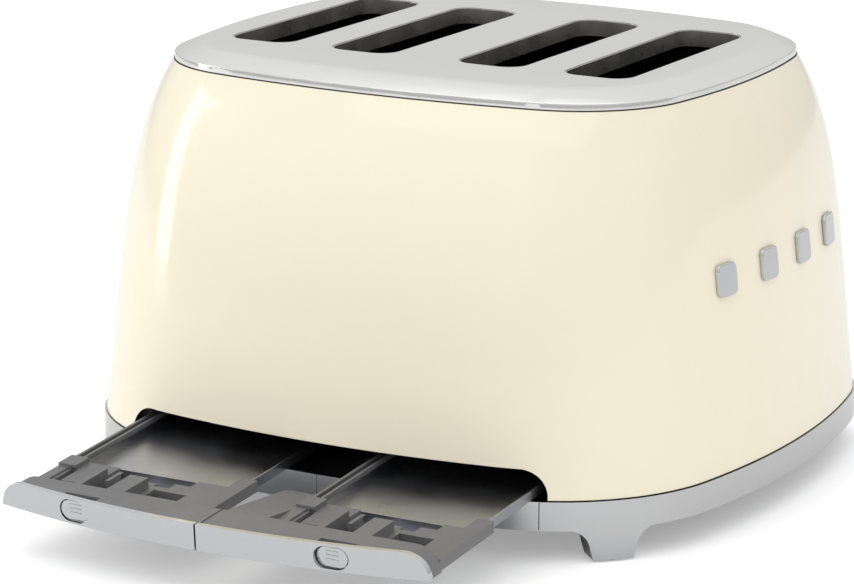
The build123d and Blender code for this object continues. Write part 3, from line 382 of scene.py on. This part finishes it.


# The near-black base colour is painted shade for the dark inside. The lighter rubbed edges are wear.
painted_shade_worn_steel, painted_shade_worn_steel_shader = new_finish("steel_painted_shade_worn_edges", (0.012, 0.012, 0.012), 0.6, 0.2)
worn_edges(painted_shade_worn_steel, painted_shade_worn_steel_shader, (0.012, 0.012, 0.012), (0.09, 0.09, 0.09), 0.55, 0.7)
add_grain(painted_shade_worn_steel, painted_shade_worn_steel_shader, 0.2, 0.00008, 1800, 1800, 1800)
add_handling(painted_shade_worn_steel, painted_shade_worn_steel_shader, 14.0, 0.45, 0.7)
dress(("base_pan", "front_chassis_plate", "rear_chassis_plate", "tray_guide_rails"), painted_shade_worn_steel)

zinc, zinc_shader = new_finish("zinc_plate", (0.5, 0.5, 0.47), 0.35, 1.0)
zinc_flakes = zinc.node_tree.nodes.new("ShaderNodeTexVoronoi")
zinc_flakes.inputs["Scale"].default_value = 420.0
zinc_place = zinc.node_tree.nodes.new("ShaderNodeTexCoord")
join(zinc, zinc_place.outputs["Object"], zinc_flakes.inputs["Vector"])
zinc_range = zinc.node_tree.nodes.new("ShaderNodeMapRange")
zinc_range.inputs["To Min"].default_value = 0.28
zinc_range.inputs["To Max"].default_value = 0.45
join(zinc, zinc_flakes.outputs["Distance"], zinc_range.inputs["Value"])
join(zinc, zinc_range.outputs["Result"], zinc_shader.inputs["Roughness"])
dress(("base_screws", "guide_rod_left", "guide_rod_right"), zinc)
dress(("carriage_left", "carriage_right", "lift_spring_left", "lift_spring_right"), zinc)

bright_sheet, bright_sheet_shader = new_finish("aluminised_sheet", (0.62, 0.62, 0.62), 0.3, 1.0)
add_grain(bright_sheet, bright_sheet_shader, 0.15, 0.00005, 400, 60, 3000)
add_handling(bright_sheet, bright_sheet_shader, 25.0, 0.22, 0.4)
dress(("side_heat_shield_left", "side_heat_shield_right"), bright_sheet)

# ---------------------------------------------------------------- heaters
# Cards of pressed mica, three to each pair of slots, with flat resistance ribbon wound across
# both faces. The cards slide into the chassis walls.
sides = ("left", "right")
mica, mica_shader = new_finish("mica_card", (0.42, 0.34, 0.24), 0.45)
mica_flakes = add_grain(mica, mica_shader, 0.3, 0.0001, 500, 500, 500)
tint_by(mica, mica_flakes.outputs["Grain"], mica_shader, (0.27, 0.21, 0.14), (0.5, 0.42, 0.31))
mica_shader.inputs["Coat Weight"].default_value = 0.25
dress([f"heater_board_{p}_{s}" for p in ("inner", "middle", "outer") for s in sides], mica)

ribbon, ribbon_shader = new_finish("resistance_ribbon", (0.16, 0.14, 0.13), 0.5, 1.0)
add_handling(ribbon, ribbon_shader, 120.0, 0.35, 0.6)
dress(("heater_ribbons_left", "heater_ribbons_right"), ribbon)

# ---------------------------------------------------------------- racks, guards and slot linings
# Steel wire and strip inside the bread slots, browned by the heat: the toothed racks that carry
# the slices, the wire guards that close on them, and the folded lips under the top plate.
hot_steel, hot_steel_shader = new_finish("heat_browned_steel", (0.2, 0.19, 0.18), 0.35, 1.0)
hot_marks = add_grain(hot_steel, hot_steel_shader, 0.1, 0.00005, 250, 250, 250)
tint_by(
    hot_steel, hot_marks.outputs["Grain"], hot_steel_shader, (0.1, 0.085, 0.075), (0.32, 0.31, 0.3)
)
add_handling(hot_steel, hot_steel_shader, 60.0, 0.25, 0.45)
dress(("bread_rack_left", "bread_rack_right"), hot_steel)
blued, blued_shader = new_finish("blued_steel", (0.4, 0.39, 0.38), 0.3, 0.85)
add_grain(blued, blued_shader, 0.15, 0.0001, 60, 60, 60)
add_handling(blued, blued_shader, 45.0, 0.22, 0.42)
dress(("slot_collars",), blued)
guard_wire, guard_wire_shader = new_finish("guard_wire", (0.5, 0.49, 0.47), 0.25, 1.0)
add_handling(guard_wire, guard_wire_shader, 80.0, 0.18, 0.4)
dress([f"bread_guards_{p}_{s}" for p in ("inner", "outer") for s in sides], guard_wire)

# ---------------------------------------------------------------- magnets and control boards
# The magnets that hold a lowered lever are copper wire on a steel core. The boards are green
# laminate with dark moulded switches, and they stand behind the knobs and buttons.
winding, winding_shader = new_finish("copper_winding", (0.55, 0.24, 0.1), 0.35, 1.0)
turns = add_grain(winding, winding_shader, 0.8, 0.0002, 20, 20, 2600)
tint_by(winding, turns.outputs["Grain"], winding_shader, (0.3, 0.11, 0.04), (0.62, 0.3, 0.13))
dress(("hold_magnet_left", "hold_magnet_right"), winding)

laminate, laminate_shader = new_finish("board_laminate", (0.03, 0.16, 0.06), 0.35)
traces = add_grain(laminate, laminate_shader, 0.2, 0.00005, 350, 30, 220)
tint_by(
    laminate, traces.outputs["Grain"], laminate_shader, (0.015, 0.09, 0.035), (0.04, 0.22, 0.08)
)
dress(("control_board_left", "control_board_right"), laminate)

# ---------------------------------------------------------------- outer shell
# One deep-drawn steel skin in cream enamel, glossy all round, with a very slight ripple in the
# glaze. Its inward faces are painted near black, as painted shade for the dark inside. It sits on the
# skirt with a gasket between.
enamel, enamel_shader = new_finish("cream_enamel", (0.84, 0.775, 0.6), 0.12)
enamel_shader.inputs["Coat Weight"].default_value = 0.7
enamel_shader.inputs["Coat Roughness"].default_value = 0.04
enamel_shader.inputs["Specular IOR Level"].default_value = 0.5
glaze = add_grain(enamel, enamel_shader, 0.05, 0.0002, 90, 90, 90)
tint_by(
    enamel,
    glaze.outputs["Grain"],
    enamel_shader,
    (0.835, 0.77, 0.595),
    (0.845, 0.785, 0.61),
    0.2,
    0.8,
)
add_handling(enamel, enamel_shader, 9.0, 0.1, 0.2)
painted_shade_interior, painted_shade_interior_shader = new_finish("interior_painted_shade", (0.012, 0.012, 0.012), 0.65)
add_grain(painted_shade_interior, painted_shade_interior_shader, 0.2, 0.0001, 1500, 1500, 1500)
shell = fair_copy("outer_shell", enamel, crease=25)
# Faces that point inwards get a near-black finish: painted shade for the dark inside of the body.
shell.data.materials.append(painted_shade_interior)
inward_limit = -0.3
for face in shell.data.polygons:
    outward = Vector((face.center.x, face.center.y, 0))
    if face.normal.dot(outward.normalized()) < inward_limit:
        face.material_index = 1

# ---------------------------------------------------------------- top plate
# Pressed stainless steel with a satin face, rubbed along the slots, and a bright polished rim all
# round where it meets the shell, with a thin dark band below it that is painted shade for the gap.
plate_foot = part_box("top_plate")[0].z
rim_polish_end = 0.0030
satin_start = 0.0038
plate_shadow_line_height = 0.0006
plate_shadow_line_grow = 1.0018
satin, satin_shader = new_finish("satin_steel", (0.74, 0.74, 0.72), 0.3, 1.0)
add_grain(satin, satin_shader, 0.12, 0.00006, 2600, 70, 2600)
satin_place = satin.node_tree.nodes.new("ShaderNodeTexCoord")
satin_split = satin.node_tree.nodes.new("ShaderNodeSeparateXYZ")
satin_shoulder = satin.node_tree.nodes.new("ShaderNodeMapRange")
satin_shoulder.inputs["From Min"].default_value = plate_foot + rim_polish_end
satin_shoulder.inputs["From Max"].default_value = plate_foot + satin_start
satin_shoulder.inputs["To Min"].default_value = 0.07
satin_shoulder.inputs["To Max"].default_value = 0.34
join(satin, satin_place.outputs["Object"], satin_split.inputs["Vector"])
join(satin, satin_split.outputs["Z"], satin_shoulder.inputs["Value"])
join(satin, satin_shoulder.outputs["Result"], satin_shader.inputs["Roughness"])
fair_copy("top_plate", satin, crease=30)
# A thin black slice grown out under the rim: painted shade for the gap between plate and shell.
plate_shadow_line = slice_of(
    "top_plate",
    "plate_shadow_line",
    rubber,
    (((0, 0, plate_foot + plate_shadow_line_height), (0, 0, 1)),),
    plate_shadow_line_grow,
)

# ---------------------------------------------------------------- trim, knobs and buttons
# Bright plated trim: four studs on each side, the frames round the lever slots, the rings round
# the browning knobs, the knobs themselves and six small keys.
fair_copy("side_badges", chrome, crease=40, bevel=0.0006, segments=3)
fair_copy("lever_escutcheons", chrome, crease=40)
fair_copy("dial_rings", chrome, crease=40)
for side in sides:
    fair_copy(f"lever_knob_{side}", chrome, crease=40)
    fair_copy(f"browning_knob_{side}", chrome, crease=40)
    for key in ("defrost", "reheat", "bagel"):
        fair_copy(f"{key}_button_{side}", chrome, crease=40)

front = (0, -1, 0)
rear = (0, 1, 0)
centred = (0, 0)
bar_softening = 0.25
ring_steps = 40
mark_reach = 0.05


def add_bar(shape, length, width, height, centre=centred, turn=0.0):
    """Small bar with softened edges, lying flat in a mark."""
    made = bmesh.ops.create_cube(shape, size=1.0)["verts"]
    bmesh.ops.scale(shape, verts=made, vec=(length, width, height))
    bmesh.ops.rotate(shape, verts=made, cent=(0, 0, 0), matrix=Matrix.Rotation(turn, 3, "Z"))
    bmesh.ops.translate(shape, verts=made, vec=(centre[0], centre[1], 0))
    bmesh.ops.bevel(
        shape,
        geom=list({edge for vert in made for edge in vert.link_edges}),
        offset=min(width, height) * bar_softening,
        segments=2,
        profile=0.5,
        affect="EDGES",
        material=-1,
    )


def add_ring(shape, radius, width, height):
    """Small flat ring, spun from its square section."""
    corners = [
        shape.verts.new((radius + x * width / 2, 0, z * height / 2))
        for x, z in ((-1, -1), (1, -1), (1, 1), (-1, 1))
    ]
    section = shape.faces.new(corners)
    bmesh.ops.spin(
        shape,
        geom=[section, *section.edges, *section.verts],
        cent=(0, 0, 0),
        axis=(0, 0, 1),
        angle=math.tau,
        steps=ring_steps,
        use_merge=True,
        use_duplicate=False,
    )
    bmesh.ops.remove_doubles(shape, verts=shape.verts, dist=1e-6)
    inner_faces = [f for f in shape.faces if all(abs(v.co.y) < 1e-7 for v in f.verts)]
    bmesh.ops.delete(shape, geom=inner_faces, context="FACES_ONLY")
    bmesh.ops.recalc_face_normals(shape, faces=shape.faces)


def middle_of(node):
    """Middle of a node's box."""
    low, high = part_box(node)
    return (low + high) / 2


def place_mark(shape, name, node, side_of, shift, finish):
    """Lay a mark on the side of a node that faces a direction, moved right and up from its middle."""
    towards = Vector(side_of)
    across = towards.cross(Vector((0, 0, -1))).normalized()
    offset = across * shift[0] + Vector((0, 0, 1)) * shift[1] + towards * mark_reach
    start = middle_of(node) + offset
    surface = bmesh.new()
    surface.from_mesh(frame["nodes"][node].data)
    spot, normal, _, _ = BVHTree.FromBMesh(surface).ray_cast(start, -towards)
    surface.free()
    sideways = Vector((0, 0, 1)).cross(normal).normalized()
    turn = Matrix((sideways, normal.cross(sideways), normal)).transposed().to_4x4()
    bmesh.ops.transform(shape, matrix=Matrix.Translation(spot) @ turn, verts=shape.verts)
    piece = object_from(shape, name, finish)
    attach(piece, node_body[node])


# Marks on the keys: a snow star, three bars of heat and a ring
ink, ink_shader = new_finish("black_ink", (0.015, 0.015, 0.015), 0.5)
add_handling(ink, ink_shader, 300.0, 0.4, 0.6)
ink_height = 0.0001
ink_width = 0.0006
star_length = 0.0052
star_width = 0.0005
heat_length = 0.0042
heat_pitch = 0.0015
ring_radius = 0.0018
for side in sides:
    star = bmesh.new()
    for turn in (90, 30, 150):
        add_bar(star, star_length, star_width, ink_height, turn=math.radians(turn))
    place_mark(star, f"star_mark_{side}", f"defrost_button_{side}", front, centred, ink)
    heat = bmesh.new()
    for step in (-1, 0, 1):
        add_bar(heat, heat_length, ink_width, ink_height, (step * heat_pitch, 0), math.radians(90))
    place_mark(heat, f"heat_mark_{side}", f"reheat_button_{side}", front, centred, ink)
    ring = bmesh.new()
    add_ring(ring, ring_radius, ink_width, ink_height)
    place_mark(ring, f"ring_mark_{side}", f"bagel_button_{side}", front, centred, ink)

# Figures 1 to 6 printed round each browning knob, on its bright ring
figure_size = 0.0036
figure_half_depth = 0.00005
figure_circle = 0.0192
first_figure_angle = 225
figure_angle_step = 54
for side in sides:
    dial_x = middle_of(f"browning_knob_{side}").x - middle_of("dial_rings").x
    for figure in range(1, 7):
        letter = bpy.data.curves.new(f"figure_{side}_{figure}", "FONT")
        letter.body = str(figure)
        letter.size = figure_size
        letter.align_x = "CENTER"
        letter.align_y = "CENTER"
        letter.extrude = figure_half_depth
        holder = bpy.data.objects.new(f"figure_{side}_{figure}", letter)
        flat = bpy.data.meshes.new_from_object(holder)
        bpy.data.objects.remove(holder)
        shape = bmesh.new()
        shape.from_mesh(flat)
        bpy.data.meshes.remove(flat)
        angle = math.radians(first_figure_angle - (figure - 1) * figure_angle_step)
        place_mark(
            shape,
            f"dial_figure_{side}_{figure}",
            "dial_rings",
            front,
            (dial_x + figure_circle * math.cos(angle), figure_circle * math.sin(angle)),
            ink,
        )

# ---------------------------------------------------------------- crumb trays
# Each tray is a grey moulding with a folded bright-steel pan behind it. A plated panel, curved
# like the body, clips over the front, with an oval push key let into it.
grey, grey_shader = new_finish("grey_moulding", (0.15, 0.15, 0.155), 0.5)
grey_texture = add_grain(grey, grey_shader, 0.25, 0.00008, 2200, 2200, 2200)
tint_by(grey, grey_texture.outputs["Grain"], grey_shader, (0.14, 0.14, 0.145), (0.165, 0.165, 0.17))
add_handling(grey, grey_shader, 30.0, 0.45, 0.62)
# The grey is the steel's own colour. Its slight blue tint is painted reflection of a cool room.
pan_steel_blue_reflection, pan_steel_blue_reflection_shader = new_finish("rolled_steel_blue_reflection", (0.42, 0.43, 0.46), 0.25, 1.0)
add_grain(pan_steel_blue_reflection, pan_steel_blue_reflection_shader, 0.1, 0.00005, 120, 2400, 2400)
add_handling(pan_steel_blue_reflection, pan_steel_blue_reflection_shader, 20.0, 0.24, 0.4)
key_bar_length = 0.0062
key_bar_width = 0.0007
key_bar_height = 0.0006
key_bar_pitch = 0.0019
key_bar_shift = (0, 0.0006)
for side in sides:
    fair_copy(f"tray_panel_{side}", chrome, bevel=0.0004, segments=3)
    fair_copy(f"tray_carrier_{side}", grey, bevel=0.0003)
    tray_key = f"tray_button_{side}"
    fair_copy(tray_key, chrome)
    for row in (-1, 0, 1):
        bars = bmesh.new()
        add_bar(bars, key_bar_length, key_bar_width, key_bar_height, (0, row * key_bar_pitch))
        place_mark(bars, f"key_bar_{side}_{row + 2}", tray_key, rear, key_bar_shift, chrome)
    fair_copy(f"tray_pan_{side}", pan_steel_blue_reflection)
